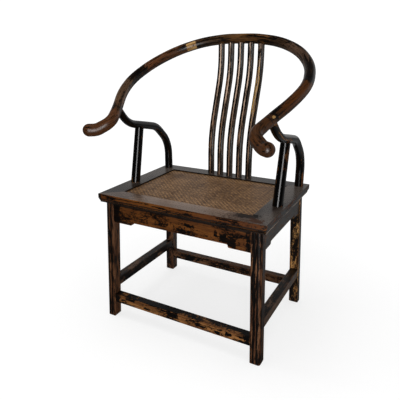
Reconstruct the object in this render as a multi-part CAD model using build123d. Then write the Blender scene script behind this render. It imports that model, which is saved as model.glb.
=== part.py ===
# Horseshoe back armchair: a joined and lacquered hardwood frame with a hoop rail and a woven seat.
# Millimetres. +Z is up and the front of the chair faces -Y. Left and right are as seen from in front, so
# that +X is right.
# The chair is worked out from the middle of its seat on the floor. Last of all, every piece moves along Y
# by the same amount, so that the origin lies under the middle of the chair's overall length.

import os
from math import cos, radians, sin, tan

from build123d import *

# ------------------------------------------------------------------ driving sizes

# Seat frame: four mitred members around a rebate that holds a board and a mat.
seat_height = 480.0
seat_width = 608.0
seat_depth = 441.0
seat_thickness = 30.0
side_member_width = 66.0
front_member_width = 58.0
rear_member_width = 57.0
edge_band = 17.0                # upright band at the top of the moulded edge
edge_groove = 1.6               # depth and height of the groove under that band
edge_draw_in = 5.5              # how far the edge draws in on its way down
edge_bead = 3.5                 # height of the bead at the bottom of the edge
edge_fullness = 0.75            # share of its width that the round between them stands out at mid height
edge_softness = 1.2             # rounding of the top arris
edge_mitre = 14.0               # reach of the 45 degree mitre at the outer corner
corner_tenon_width = 14.0
corner_tenon_height = 10.0
corner_tenon_lift = 3.5         # from the underside of the frame to the tenon
corner_tenon_setback = 3.0      # from the inner edge of the frame to the tenon
corner_tenon_cover = 12.0       # wood left outside the end of the tenon

ledge_width = 10.0               # of the ledge that carries the board
board_thickness = 8.0
mat_thickness = 1.5
mat_recess = 4.5                # from the top of the frame down to the mat
board_clearance = 0.5
batten_width = 30.0
batten_spread = 90.0            # middle of each batten from the middle of the seat
batten_lift = 1.5               # from the underside of the frame to the batten
batten_tenon_width = 20.0
batten_tenon_thickness = 7.0
batten_tenon_length = 12.0

# Legs: square inside and round at the outer corner, reeded on the two outer faces, splayed both ways.
leg_width = 35.0
leg_side_inset = 17.5           # from the seat's side edge to the leg's outer face, under the frame
leg_front_inset = 12.5          # from the seat's front or rear edge to the leg's outer face
leg_side_splay = 18.0           # outward travel of the leg from the frame to the floor
leg_front_splay = 14.0
leg_outer_round = 13.0
leg_inner_round = 1.5
reed_groove = 1.4               # radius of the grooves between the reeds
leg_tenon_width = 16.0
leg_tenon_length = 14.0
foot_round = 3.5                # of the foot's arrises, around a flat that rests on the floor
foot_corner_round = 6.0         # of the flat's corners
foot_facets = 3                 # that the rounding is worked in

# Aprons: thin boards under the frame, with a spandrel at each end.
apron_height = 60.0
apron_thickness = 14.0
apron_inset = 1.5               # behind the leg's outer face, at the top
front_spandrel_length = 73.0
side_spandrel_length = 52.0
spandrel_drop = 10.5
spandrel_round = 5.0
apron_tongue_thickness = 6.0
apron_tongue_length = 9.0
apron_tongue_shoulder = 8.0     # from the apron's lower edge to its tongue

# Stretchers.
stretcher_height = 33.0
stretcher_depth = 30.5
stretcher_inset = 2.0           # behind the leg's outer face, at mid height
stretcher_softness = 2.2
stretcher_entry = 4.0           # how far its shoulder is scribed into the leg, behind the leg's arris
low_stretcher_lift = 62.0       # floor to the underside of the front and rear stretchers
side_stretcher_lift = 116.0     # floor to the underside of the side stretchers
stretcher_tenon_height = 17.0
stretcher_tenon_thickness = 10.0
stretcher_tenon_length = 20.0

# Hoop rail: corners of the line through its middle, from the middle of the back to the right hand rest.
# Each is its spread from the middle of the chair, its reach behind the middle of the seat, and its rise
# above the seat. The line runs straight between them and turns each corner on the largest arc that fits.
rail_radius = 17.5
rail_back_reach = 270.5
rail_back_rise = 498.0
rail_corners = [
    (58.0, rail_back_reach, rail_back_rise),
    (150.0, 257.0, 487.0),
    (236.0, 211.0, 457.5),
    (299.0, 131.0, 412.5),
    (322.0, 31.0, 362.5),
    (304.0, -56.0, 321.0),
    (268.0, -131.0, 279.5),
    (243.0, -197.0, 244.5),
    (282.0, -225.0, 220.0),
]
hand_tip = (301.0, -239.3, 220.0)    # middle of the rounded end of the hand rest
bend_share = 0.48                    # of the shorter run beside a corner that its arc takes
hand_radius = 20.6
throat_radius = 19.6
throat_distance = 80.0               # along the hand rest, from its joint to its throat

# Lap joints of the rail, each given by its front end, measured along the rail from the middle of the back.
shoulder_joint = 219.0
arm_joint = 467.0
hand_joint = 677.0
lap_length = 58.0
lap_tongue_length = 4.0
lap_tongue_width = 14.0
lap_tongue_thickness = 3.5
pin_head = 7.0                       # square of the pin at its thick end
pin_point = 5.5                      # square of the pin at its thin end

# Side posts: S shaped, from the rear of the seat up to the hoop rail. Corners are reach and rise.
post_inset = 29.0                    # from the seat's side edge to the middle of the posts
side_post_radius = 15.5
side_post_head_radius = 13.0
side_post_foot_inset = 36.0          # from the seat's rear edge to the middle of the foot
side_post_foot_rise = 108.0          # of the first corner, straight above the foot
side_post_corners = [(101.0, 182.0), (49.0, 193.5), (-72.0, 218.0)]
side_post_joint = 665.0              # where it meets the rail, measured along the rail

# Straight posts under them.
arm_post_foot_reach = -46.0
arm_post_head_reach = -4.0
arm_post_foot_radius = 17.0
arm_post_head_radius = 15.5

# Slats: upright, a gentle S in side view, upright again.
slat_count = 5
slat_spacing = 39.3
slat_width = 22.5
slat_thickness = 15.0
slat_foot_inset = 35.5               # from the seat's rear edge to the middle of the foot
slat_head_reach = 266.5
slat_low_bend = 148.0                # rise of the lower bend over the seat
slat_high_bend = 385.0
slat_low_radius = 450.0
slat_high_radius = 350.0
slat_front_round = 6.0
slat_back_round = 1.5
slat_tenon_width = 11.0
slat_tenon_thickness = 7.0

post_tenon_radius = 6.5
post_tenon_length = 12.0
post_tenon_root = 8.0                # of a round tenon inside its own post
joint_clearance = 0.15               # around every tenon, tongue and pin

# ------------------------------------------------------------------ places worked out from the sizes

frame_underside = seat_height - seat_thickness
half_width = seat_width / 2
half_depth = seat_depth / 2
opening_side = half_width - side_member_width
opening_front = -half_depth + front_member_width
opening_rear = half_depth - rear_member_width
mat_top = seat_height - mat_recess
board_top = mat_top - mat_thickness
ledge_top = board_top - board_thickness

post_spread = half_width - post_inset
side_post_foot_reach = half_depth - side_post_foot_inset
slat_foot_reach = half_depth - slat_foot_inset

rail_front_reach = hand_tip[1] - hand_radius
rail_rear_reach = rail_back_reach + rail_radius
middle_shift = -(rail_front_reach + rail_rear_reach) / 2

reach_of_cutters = 4 * (seat_width + seat_height)

pieces = {}


def placed(shape):
    """A finished piece in its place about the origin."""
    return Pos(0, middle_shift, 0) * shape


def keep(name, shape):
    pieces[name] = placed(shape)


def keep_pair(name, right):
    """A piece of the right half, and its mirror image on the left."""
    keep(name + "_right", right)
    keep(name + "_left", mirror(right, about=Plane.YZ))


def span_box(low, high):
    """A box between two opposite corners."""
    size = [b - a for a, b in zip(low, high)]
    middle = [(a + b) / 2 for a, b in zip(low, high)]
    return Pos(*middle) * Box(*size)


def both_sides(shape):
    """A shape of the right half together with its mirror image."""
    return shape + mirror(shape, about=Plane.YZ)


def above(height):
    """Everything higher than a level."""
    big = reach_of_cutters
    return span_box((-big, -big, height), (big, big, height + big))


# ------------------------------------------------------------------ hoop rail

def rounded_route(corners):
    """A path of straight runs, joined by arcs that take the same share of the shorter run beside each."""
    points = [Vector(*corner) for corner in corners]
    radii = []
    for before, corner, after in zip(points, points[1:], points[2:]):
        run_in = before - corner
        run_out = after - corner
        turn = 180 - run_in.get_angle(run_out)
        setback = bend_share * min(run_in.length, run_out.length)
        radii.append(setback / tan(radians(turn / 2)))
    return FilletPolyline(*points, radius=radii).wire()


def point_along(route, distance):
    return route.position_at(distance, position_mode=PositionMode.LENGTH)


def direction_along(route, distance):
    return route.tangent_at(distance, position_mode=PositionMode.LENGTH)


def ring(route, distance, radius):
    """A circle square to a route."""
    across = Plane(origin=point_along(route, distance), z_dir=direction_along(route, distance))
    return across * Circle(radius)


def over_seat(corner):
    return (corner[0], corner[1], seat_height + corner[2])


rail_start = (0.0, rail_back_reach, rail_back_rise)
rail_route = rounded_route([over_seat(c) for c in [rail_start, *rail_corners, hand_tip]])
rail_tube = sweep(ring(rail_route, 0, rail_radius), path=rail_route)

# The hand rest swells from the rail's own size to its throat and its rounded end.
hand_start = hand_joint - lap_length - lap_tongue_length
hand_route = rail_route.trim(hand_start / rail_route.length, 1.0)
hand_rings = [
    ring(hand_route, 0, rail_radius),
    ring(hand_route, hand_joint - hand_start, rail_radius),
    ring(hand_route, hand_joint - hand_start + throat_distance, throat_radius),
    ring(hand_route, hand_route.length, hand_radius),
]
hand_tube = sweep(hand_rings, path=hand_route, multisection=True)
hand_tube += Pos(*(hand_route @ 1)) * Sphere(hand_radius)


def lap_frame(front_end):
    """The middle of a lap: X runs along the rail, and Z is as near to upright as the rail allows."""
    middle = front_end - lap_length / 2
    along = direction_along(rail_route, middle)
    upright = Vector(0, 0, 1)
    return Plane(
        origin=point_along(rail_route, middle),
        x_dir=along,
        z_dir=upright - along * upright.dot(along),
    )


def lap_half(frame, side):
    """The block that takes the upper (+1) or lower (-1) half of the rail out of a lap."""
    depth = 2 * hand_radius
    block = Box(lap_length, 2 * depth, depth, align=(Align.CENTER, Align.CENTER, Align.MIN))
    if side < 0:
        block = mirror(block, about=Plane.XY)
    return frame * block


def lap_tongue(frame, end, side, clearance=0.0):
    """A tongue past the front (+1) or rear (-1) end of a lap, over (+1) or under (-1) its middle."""
    root = 2 * lap_tongue_length
    x_far = lap_length / 2 + lap_tongue_length + clearance
    x_near = lap_length / 2 - root
    half = lap_tongue_width / 2 + clearance
    thick = lap_tongue_thickness + clearance
    low = (min(end * x_near, end * x_far), -half, min(0, side * thick))
    high = (max(end * x_near, end * x_far), half, max(0, side * thick))
    return frame * span_box(low, high)


def lap_end(frame, end):
    """The plane across one end of a lap, facing forward along the rail."""
    return Plane(origin=frame.from_local_coords((end * lap_length / 2, 0, 0)), z_dir=frame.x_dir)


def rear_of_lap(piece, front_end):
    """The piece behind a lap: it keeps the upper half, with a tongue at the lap's front end."""
    frame = lap_frame(front_end)
    piece = split(piece, bisect_by=lap_end(frame, 1), keep=Keep.BOTTOM)
    piece -= lap_half(frame, -1)
    piece -= lap_tongue(frame, -1, -1, joint_clearance)
    return piece + lap_tongue(frame, 1, 1)


def front_of_lap(piece, front_end):
    """The piece before a lap: it keeps the lower half, with a tongue at the lap's rear end."""
    frame = lap_frame(front_end)
    piece = split(piece, bisect_by=lap_end(frame, -1), keep=Keep.TOP)
    piece -= lap_half(frame, 1)
    piece -= lap_tongue(frame, 1, 1, joint_clearance)
    return piece + lap_tongue(frame, -1, -1)


def lap_pin(front_end):
    """A tapered square pin across the middle of a lap, flush with the rail."""
    frame = lap_frame(front_end)
    side = frame * Rot(90, 0, 0)
    reach = rail_radius + pin_head
    thick = Plane(side).offset(reach) * Rectangle(pin_head, pin_head)
    thin = Plane(side).offset(-reach) * Rectangle(pin_point, pin_point)
    return loft([thick, thin]) & rail_tube


pins = {joint: lap_pin(joint) for joint in (shoulder_joint, arm_joint, hand_joint)}

back_half = rear_of_lap(rail_tube, shoulder_joint) - pins[shoulder_joint]
rail_back = both_sides(back_half)

rail_shoulder = rear_of_lap(front_of_lap(rail_tube, shoulder_joint), arm_joint)
rail_shoulder -= pins[shoulder_joint]
rail_shoulder -= pins[arm_joint]

rail_arm = rear_of_lap(front_of_lap(rail_tube, arm_joint), hand_joint)
rail_arm -= pins[arm_joint]
rail_arm -= pins[hand_joint]

rail_hand = front_of_lap(hand_tube, hand_joint) - pins[hand_joint]

# ------------------------------------------------------------------ seat frame

def edge_profile(width):
    """Section of a seat member: X runs outward from the rebate, and Y is up from the seat's top."""
    low = -seat_thickness
    groove_top = -edge_band
    groove_low = groove_top - edge_groove
    bead_root = width - edge_draw_in
    bead_top = low + edge_bead
    inside = Polyline(
        (bead_root, low),
        (-ledge_width, low),
        (-ledge_width, ledge_top - seat_height),
        (0, ledge_top - seat_height),
        (0, 0),
        (width - edge_softness, 0),
    )
    arris = RadiusArc((width - edge_softness, 0), (width, -edge_softness), edge_softness)
    band = Polyline(
        (width, -edge_softness),
        (width, groove_top),
        (width - edge_groove, groove_top),
        (width - edge_groove, groove_low),
    )
    belly = (groove_low - bead_top) / 2
    bulge = (width - edge_groove - bead_root) * edge_fullness
    ovolo = ThreePointArc(
        (width - edge_groove, groove_low),
        (bead_root + bulge, bead_top + belly),
        (bead_root, bead_top),
    )
    bead = ThreePointArc(
        (bead_root, bead_top),
        (bead_root + edge_bead / 2, (bead_top + low) / 2),
        (bead_root, low),
    )
    return make_face([*inside.edges(), *arris.edges(), *band.edges(), *ovolo.edges(), *bead.edges()])


def seat_member(start, outward, width, length):
    """A length of the moulded section, with its rebate at start and its edge facing outward."""
    across = Plane(origin=start, x_dir=outward, z_dir=Vector(*outward).cross(Vector(0, 0, 1)))
    return extrude(across * edge_profile(width), amount=length / 2, both=True)


def mitre_line(side, end):
    """Plan of one corner's mitre, from the ledge out past the edge."""
    opening_end = opening_rear if end > 0 else -opening_front
    past = edge_mitre
    steps = [
        (opening_side - ledge_width, opening_end - ledge_width),
        (opening_side + ledge_width, opening_end + ledge_width),
        (half_width - edge_mitre, half_depth - edge_mitre),
        (half_width + past, half_depth + past),
    ]
    return [(side * x, end * y) for x, y in steps]


def mitre_block(first, second):
    """An upright block between two mitres."""
    outline = make_face(Polyline(*first, *reversed(second), close=True))
    return extrude(outline, amount=2 * seat_height)


def corner_tenon(side, end, clearance=0.0):
    opening_end = opening_rear if end > 0 else -opening_front
    inner = opening_end + corner_tenon_setback
    low_z = frame_underside + corner_tenon_lift
    low = (opening_side - ledge_width, inner - clearance, low_z - clearance)
    high = (
        half_width - corner_tenon_cover + clearance,
        inner + corner_tenon_width + clearance,
        low_z + corner_tenon_height + clearance,
    )
    block = span_box(low, high)
    if side < 0:
        block = mirror(block, about=Plane.YZ)
    if end < 0:
        block = mirror(block, about=Plane.XZ)
    return block


def batten_tenon(end, clearance=0.0):
    """The tenon of the right batten at its front (-1) or rear (+1) end."""
    shoulder = opening_rear - ledge_width if end > 0 else opening_front + ledge_width
    tip = shoulder + end * (batten_tenon_length + clearance)
    root = shoulder - end * batten_tenon_length
    middle = (ledge_top + frame_underside + batten_lift) / 2
    half_thick = batten_tenon_thickness / 2 + clearance
    half_wide = batten_tenon_width / 2 + clearance
    low = (batten_spread - half_wide, min(root, tip), middle - half_thick)
    high = (batten_spread + half_wide, max(root, tip), middle + half_thick)
    return span_box(low, high)


corners = {(side, end): mitre_line(side, end) for side in (-1, 1) for end in (-1, 1)}

member_front = seat_member((0, opening_front, seat_height), (0, -1, 0), front_member_width, 2 * seat_width)
member_front &= mitre_block(corners[-1, -1], corners[1, -1])
member_rear = seat_member((0, opening_rear, seat_height), (0, 1, 0), rear_member_width, 2 * seat_width)
member_rear &= mitre_block(corners[-1, 1], corners[1, 1])
member_side = seat_member((opening_side, 0, seat_height), (1, 0, 0), side_member_width, 2 * seat_depth)
member_side &= mitre_block(corners[1, -1], corners[1, 1])

for side in (-1, 1):
    member_front += corner_tenon(side, -1)
    member_rear += corner_tenon(side, 1)
for end in (-1, 1):
    member_side -= corner_tenon(1, end, joint_clearance)

board_low = (
    board_clearance - opening_side,
    opening_front + board_clearance,
    ledge_top,
)
board_high = (
    opening_side - board_clearance,
    opening_rear - board_clearance,
    board_top,
)
seat_board = span_box(board_low, board_high)
seat_mat = span_box((*board_low[:2], board_top), (*board_high[:2], mat_top))

batten_low = (batten_spread - batten_width / 2, opening_front + ledge_width, frame_underside + batten_lift)
batten_high = (batten_spread + batten_width / 2, opening_rear - ledge_width, ledge_top)
batten = span_box(batten_low, batten_high)
batten += batten_tenon(-1)
batten += batten_tenon(1)
member_front -= both_sides(batten_tenon(-1, joint_clearance))
member_rear -= both_sides(batten_tenon(1, joint_clearance))

# ------------------------------------------------------------------ legs

def leg_side_face(height):
    """Spread of the legs' outer side faces at a height."""
    return half_width - leg_side_inset + leg_side_splay * (1 - height / frame_underside)


def leg_front_face(height):
    """Reach of the legs' outer front and rear faces at a height."""
    return half_depth - leg_front_inset + leg_front_splay * (1 - height / frame_underside)


def leg_section():
    """Section of the right front leg: round at its outer corner, with two grooves in each outer face."""
    half = leg_width / 2
    section = Rectangle(leg_width, leg_width)
    by_outward = section.vertices().sort_by(lambda v: v.X - v.Y)
    section = fillet(by_outward[-1], leg_outer_round)
    near = half - leg_inner_round
    inner = [v for v in section.vertices() if v.X < -near or v.Y > near]
    section = fillet(inner, leg_inner_round)
    reed = leg_width / 3
    for place in (-reed / 2, reed / 2):
        section -= Pos(half, place) * Circle(reed_groove)
        section -= Pos(place, -half) * Circle(reed_groove)
    return section


def middle_of_leg(level):
    """The middle of the right front leg at a height."""
    return Pos(leg_side_face(level) - leg_width / 2, leg_width / 2 - leg_front_face(level), level)


def eased_foot():
    """A block around the right front leg, its foot drawn in facet by facet along a quarter round."""
    rings = []
    for number in range(foot_facets + 1):
        turn = radians(90 * number / foot_facets)
        drawn_in = 1 - sin(turn)
        size = leg_width - 2 * foot_round * drawn_in
        corner = leg_inner_round + (foot_corner_round - leg_inner_round) * drawn_in
        rings.append(middle_of_leg(foot_round * (1 - cos(turn))) * RectangleRounded(size, size, corner))
    return loft(rings, ruled=True) + above(foot_round)


def right_front_leg():
    rise = Vector(-leg_side_splay, leg_front_splay, frame_underside)
    leg = extrude(middle_of_leg(0) * leg_section(), amount=rise.length, dir=rise.normalized())
    return leg & eased_foot()


def leg_tenon(clearance=0.0):
    """The stub tenon from the head of the right front leg into the corner of the frame."""
    spread = leg_side_face(frame_underside) - leg_width / 2
    reach = -leg_front_face(frame_underside) + leg_width / 2
    half = leg_tenon_width / 2 + clearance
    low = (spread - half, reach - half, frame_underside - leg_tenon_length)
    high = (spread + half, reach + half, frame_underside + leg_tenon_length + clearance)
    return span_box(low, high)


plain_leg = right_front_leg()
legs_front = both_sides(plain_leg)
legs_right = plain_leg + mirror(plain_leg, about=Plane.XZ)

# ------------------------------------------------------------------ stretchers

def stretcher_blank(low, high, along):
    blank = span_box(low, high)
    return fillet(blank.edges().filter_by(along), stretcher_softness)


def low_stretcher_tenon(clearance=0.0):
    """The tenon of the front stretcher in the right front leg."""
    level = low_stretcher_lift + stretcher_height / 2
    reach = -leg_front_face(level) + stretcher_inset + stretcher_depth / 2
    shoulder = leg_side_face(level) - leg_width
    thick = stretcher_tenon_thickness / 2 + clearance
    tall = stretcher_tenon_height / 2 + clearance
    low = (shoulder - stretcher_tenon_length, reach - thick, level - tall)
    high = (shoulder + stretcher_tenon_length + clearance, reach + thick, level + tall)
    return span_box(low, high)


def side_stretcher_tenon(clearance=0.0):
    """The tenon of the right stretcher in the right front leg."""
    level = side_stretcher_lift + stretcher_height / 2
    spread = leg_side_face(level) - stretcher_inset - stretcher_depth / 2
    shoulder = -leg_front_face(level) + leg_width
    thick = stretcher_tenon_thickness / 2 + clearance
    tall = stretcher_tenon_height / 2 + clearance
    low = (spread - thick, shoulder - stretcher_tenon_length - clearance, level - tall)
    high = (spread + thick, shoulder + stretcher_tenon_length, level + tall)
    return span_box(low, high)


def front_stretcher():
    level = low_stretcher_lift + stretcher_height / 2
    reach = -leg_front_face(level) + stretcher_inset
    end = leg_side_face(level) - leg_width + stretcher_entry
    low = (-end, reach, low_stretcher_lift)
    high = (end, reach + stretcher_depth, low_stretcher_lift + stretcher_height)
    bar = stretcher_blank(low, high, Axis.X) - legs_front
    return bar + both_sides(low_stretcher_tenon())


def right_stretcher():
    level = side_stretcher_lift + stretcher_height / 2
    spread = leg_side_face(level) - stretcher_inset
    end = leg_front_face(level) - leg_width + stretcher_entry
    low = (spread - stretcher_depth, -end, side_stretcher_lift)
    high = (spread, end, side_stretcher_lift + stretcher_height)
    bar = stretcher_blank(low, high, Axis.Y) - legs_right
    tenon = side_stretcher_tenon()
    return bar + tenon + mirror(tenon, about=Plane.XZ)


# ------------------------------------------------------------------ aprons

def apron_outline(half_length, spandrel_length):
    """Front view of an apron, down from the underside of the frame: X is along it."""
    step = half_length - spandrel_length
    low = -apron_height
    outline = Polyline(
        (-half_length, 0),
        (half_length, 0),
        (half_length, low - spandrel_drop),
        (step, low - spandrel_drop),
        (step, low),
        (-step, low),
        (-step, low - spandrel_drop),
        (-half_length, low - spandrel_drop),
        close=True,
    )
    face = make_face(outline)
    steps = [v for v in face.vertices() if abs(abs(v.X) - step) < leg_inner_round]
    return fillet(steps, spandrel_round)


def apron_tongue(shoulder, clearance=0.0):
    """The tongue at the +X end of an apron that lies along X, its outer face on Y = 0."""
    middle = apron_thickness / 2
    half = apron_tongue_thickness / 2 + clearance
    low = (shoulder - apron_tongue_length, middle - half, apron_tongue_shoulder - apron_height - clearance)
    high = (shoulder + apron_tongue_length + clearance, middle + half, 0)
    return span_box(low, high)


def apron(half_length, spandrel_length, place, legs):
    """An apron cut to its legs; its outline is drawn long, and its ends are scribed to them."""
    margin = leg_width / 2
    outline = apron_outline(half_length + margin, spandrel_length + margin)
    board = extrude(Plane.XZ * outline, amount=-apron_thickness)
    board = place * board - legs
    tongue = place * apron_tongue(half_length)
    other = place * mirror(apron_tongue(half_length), about=Plane.YZ)
    return board + tongue + other


front_apron_half = leg_side_face(frame_underside) - leg_width
side_apron_half = leg_front_face(frame_underside) - leg_width
front_apron_place = Pos(0, -leg_front_face(frame_underside) + apron_inset, frame_underside)
right_apron_place = Pos(leg_side_face(frame_underside) - apron_inset, 0, frame_underside) * Rot(0, 0, 90)

apron_front = apron(front_apron_half, front_spandrel_length, front_apron_place, legs_front)
apron_right = apron(side_apron_half, side_spandrel_length, right_apron_place, legs_right)
stretcher_front = front_stretcher()
stretcher_right = right_stretcher()

# The right front leg, with its tenon and its mortises. The other legs are its mirror images.
leg = plain_leg + leg_tenon()
leg -= low_stretcher_tenon(joint_clearance)
leg -= side_stretcher_tenon(joint_clearance)
leg -= front_apron_place * apron_tongue(front_apron_half, joint_clearance)
leg -= right_apron_place * mirror(apron_tongue(side_apron_half, joint_clearance), about=Plane.YZ)

leg_socket_front = leg_tenon(joint_clearance)
leg_socket_rear = mirror(leg_socket_front, about=Plane.XZ)
member_side -= leg_socket_front
member_side -= leg_socket_rear
member_front -= both_sides(leg_socket_front)
member_rear -= both_sides(leg_socket_rear)

# ------------------------------------------------------------------ posts

def post_in_plane(corner):
    return (post_spread, corner[0], seat_height + corner[1])


def stub(start, direction, clearance=0.0):
    """A round tenon along a direction, rooted behind its start."""
    root = start - direction * post_tenon_root
    across = Plane(origin=root, z_dir=direction)
    length = post_tenon_root + post_tenon_length + clearance
    return extrude(across * Circle(post_tenon_radius + clearance), amount=length)


side_post_foot = (side_post_foot_reach, 0.0)
side_post_turn = (side_post_foot_reach, side_post_foot_rise)
side_post_head = point_along(rail_route, side_post_joint)
side_post_route = rounded_route(
    [
        *[post_in_plane(c) for c in [side_post_foot, side_post_turn, *side_post_corners]],
        tuple(side_post_head),
    ]
)
side_post_rings = [
    ring(side_post_route, 0, side_post_radius),
    ring(side_post_route, side_post_route.length, side_post_head_radius),
]
side_post_bar = sweep(side_post_rings, path=side_post_route, multisection=True)
side_post_top = side_post_route % 1
side_post_shoulder = side_post_head - side_post_top * rail_radius


def side_post_foot_tenon(clearance=0.0):
    return stub(side_post_route @ 0, Vector(0, 0, -1), clearance)


def side_post_head_tenon(clearance=0.0):
    return stub(side_post_shoulder, side_post_top, clearance)


side_post = side_post_bar - hand_tube
side_post += side_post_foot_tenon()
side_post += side_post_head_tenon()
rail_hand -= side_post_head_tenon(joint_clearance)

# The straight post stands under the dip of the side post, and is scribed to it.
dip_rear = Vector(*post_in_plane(side_post_corners[-2]))
dip_front = Vector(*post_in_plane(side_post_corners[-1]))
dip_share = (dip_rear.Y - arm_post_head_reach) / (dip_rear.Y - dip_front.Y)
arm_post_head = dip_rear + (dip_front - dip_rear) * dip_share
arm_post_foot = Vector(*post_in_plane((arm_post_foot_reach, 0.0)))
arm_post_line = (arm_post_head - arm_post_foot).normalized()
scribe = side_post_head_radius / 2

arm_post_rings = [
    Plane(origin=arm_post_foot - arm_post_line * arm_post_foot_radius, z_dir=arm_post_line)
    * Circle(arm_post_foot_radius),
    Plane(origin=arm_post_head - arm_post_line * scribe, z_dir=arm_post_line)
    * Circle(arm_post_head_radius),
]


def arm_post_foot_tenon(clearance=0.0):
    return stub(arm_post_foot, -arm_post_line, clearance)


def arm_post_head_tenon(clearance=0.0):
    start = arm_post_head - arm_post_line * side_post_radius
    return stub(start, arm_post_line, clearance)


arm_post = (loft(arm_post_rings) & above(seat_height)) - side_post_bar
arm_post += arm_post_foot_tenon()
arm_post += arm_post_head_tenon()
side_post -= arm_post_head_tenon(joint_clearance)

for tenon in (side_post_foot_tenon(joint_clearance), arm_post_foot_tenon(joint_clearance)):
    member_side -= tenon
    member_rear -= both_sides(tenon)

# ------------------------------------------------------------------ slats

def slat_tenon(spread, reach, shoulder, toward, clearance=0.0):
    """A flat stub tenon, up (+1) or down (-1) from a slat's shoulder."""
    half_wide = slat_tenon_width / 2 + clearance
    half_thick = slat_tenon_thickness / 2 + clearance
    root = shoulder - toward * post_tenon_length
    tip = shoulder + toward * (post_tenon_length + clearance)
    low = (spread - half_wide, reach - half_thick, min(root, tip))
    high = (spread + half_wide, reach + half_thick, max(root, tip))
    return span_box(low, high)


def slat_section():
    section = Rectangle(slat_width, slat_thickness)
    front = section.vertices().filter_by(lambda v: v.Y < 0)
    section = fillet(front, slat_front_round)
    back = section.vertices().filter_by(lambda v: v.Y > slat_thickness / 2 - slat_back_round / 2)
    return fillet(back, slat_back_round)


def slat_blank(spread):
    """A slat that runs on up into the rail."""
    route = FilletPolyline(
        (spread, slat_foot_reach, seat_height),
        (spread, slat_foot_reach, seat_height + slat_low_bend),
        (spread, slat_head_reach, seat_height + slat_high_bend),
        (spread, slat_head_reach, seat_height + rail_back_rise),
        radius=[slat_low_radius, slat_high_radius],
    )
    across = Plane(origin=(spread, slat_foot_reach, seat_height), x_dir=(1, 0, 0), z_dir=(0, 0, 1))
    return sweep(across * slat_section(), path=route.wire())


rail_underside = seat_height + rail_back_rise - rail_radius
for number in range(slat_count):
    spread = (number - (slat_count - 1) / 2) * slat_spacing
    slat = slat_blank(spread) - both_sides(rail_tube)
    slat += slat_tenon(spread, slat_foot_reach, seat_height, -1)
    slat += slat_tenon(spread, slat_head_reach, rail_underside, 1)
    member_rear -= slat_tenon(spread, slat_foot_reach, seat_height, -1, joint_clearance)
    rail_back -= slat_tenon(spread, slat_head_reach, rail_underside, 1, joint_clearance)
    keep(f"slat_{number + 1}", slat)

# ------------------------------------------------------------------ finished pieces

keep("rail_back", rail_back)
keep_pair("rail_shoulder", rail_shoulder)
keep_pair("rail_arm", rail_arm)
keep_pair("rail_hand", rail_hand)
all_pins = [*pins.values(), *[mirror(pin, about=Plane.YZ) for pin in pins.values()]]
pieces["rail_pins"] = Compound([placed(pin).solid() for pin in all_pins])

keep_pair("side_post", side_post)
keep_pair("arm_post", arm_post)

keep("seat_member_front", member_front)
keep("seat_member_rear", member_rear)
keep_pair("seat_member", member_side)
keep("seat_board", seat_board)
keep("seat_mat", seat_mat)
keep_pair("seat_batten", batten)

keep_pair("leg_front", leg)
keep("leg_rear_right", mirror(leg, about=Plane.XZ))
keep("leg_rear_left", Rot(0, 0, 180) * leg)
keep("apron_front", apron_front)
keep("apron_rear", mirror(apron_front, about=Plane.XZ))
keep_pair("apron", apron_right)
keep("stretcher_front", stretcher_front)
keep("stretcher_rear", mirror(stretcher_front, about=Plane.XZ))
keep_pair("stretcher", stretcher_right)

os.makedirs("parts", exist_ok=True)
for name, shape in pieces.items():
    export_step(shape, f"parts/{name}.step")
    print(name, len(shape.solids()), round(shape.volume))
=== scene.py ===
from math import atan2, cos, pi, radians, sin

import bmesh
import bpy
from mathutils import Matrix, Vector
from mathutils.kdtree import KDTree


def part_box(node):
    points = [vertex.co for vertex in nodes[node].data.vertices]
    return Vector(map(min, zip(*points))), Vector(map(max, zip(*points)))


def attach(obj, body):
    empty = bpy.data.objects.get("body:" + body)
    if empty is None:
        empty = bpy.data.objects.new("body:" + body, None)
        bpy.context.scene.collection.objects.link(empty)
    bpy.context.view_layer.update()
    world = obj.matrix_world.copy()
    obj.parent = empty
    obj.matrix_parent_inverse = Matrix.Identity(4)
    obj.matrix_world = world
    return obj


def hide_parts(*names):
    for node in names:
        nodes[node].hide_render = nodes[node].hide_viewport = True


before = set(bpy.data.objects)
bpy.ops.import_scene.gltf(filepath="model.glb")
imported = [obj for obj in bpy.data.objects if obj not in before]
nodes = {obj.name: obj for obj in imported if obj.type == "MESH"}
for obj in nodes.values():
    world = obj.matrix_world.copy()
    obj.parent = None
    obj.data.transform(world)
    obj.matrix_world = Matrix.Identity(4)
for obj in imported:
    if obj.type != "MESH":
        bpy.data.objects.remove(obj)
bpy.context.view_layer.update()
scene = bpy.context.scene

# ------------------------------------------------------------------ floor, lights and camera
# A plain pale studio: a white floor that fades into a white surround, a soft box in front of the chair
# for the long highlights on its posts, one overhead, and a weaker one at its left.


def feed(tree, socket, value):
    """Fills a socket with a number or colour, or links it to another node."""
    if isinstance(value, bpy.types.NodeSocket):
        tree.links.new(value, socket)
    else:
        socket.default_value = value


def add(tree, kind, inputs=None, **settings):
    """Adds a node to a material, set up and linked."""
    made = tree.nodes.new(kind)
    for name, value in settings.items():
        setattr(made, name, value)
    for name, value in (inputs or {}).items():
        feed(tree, made.inputs[name], value)
    return made


def calc(tree, operation, *terms, clamp=False):
    """Arithmetic on numbers or sockets."""
    made = add(tree, "ShaderNodeMath", operation=operation, use_clamp=clamp)
    for socket, term in zip(made.inputs, terms):
        feed(tree, socket, term)
    return made.outputs[0]


def fade(tree, value, low, high, start=0.0, end=1.0):
    """A soft step from start, at low, to end, at high."""
    limits = {"Value": value, "From Min": low, "From Max": high, "To Min": start, "To Max": end}
    return add(tree, "ShaderNodeMapRange", limits, interpolation_type="SMOOTHSTEP").outputs["Result"]


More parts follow.
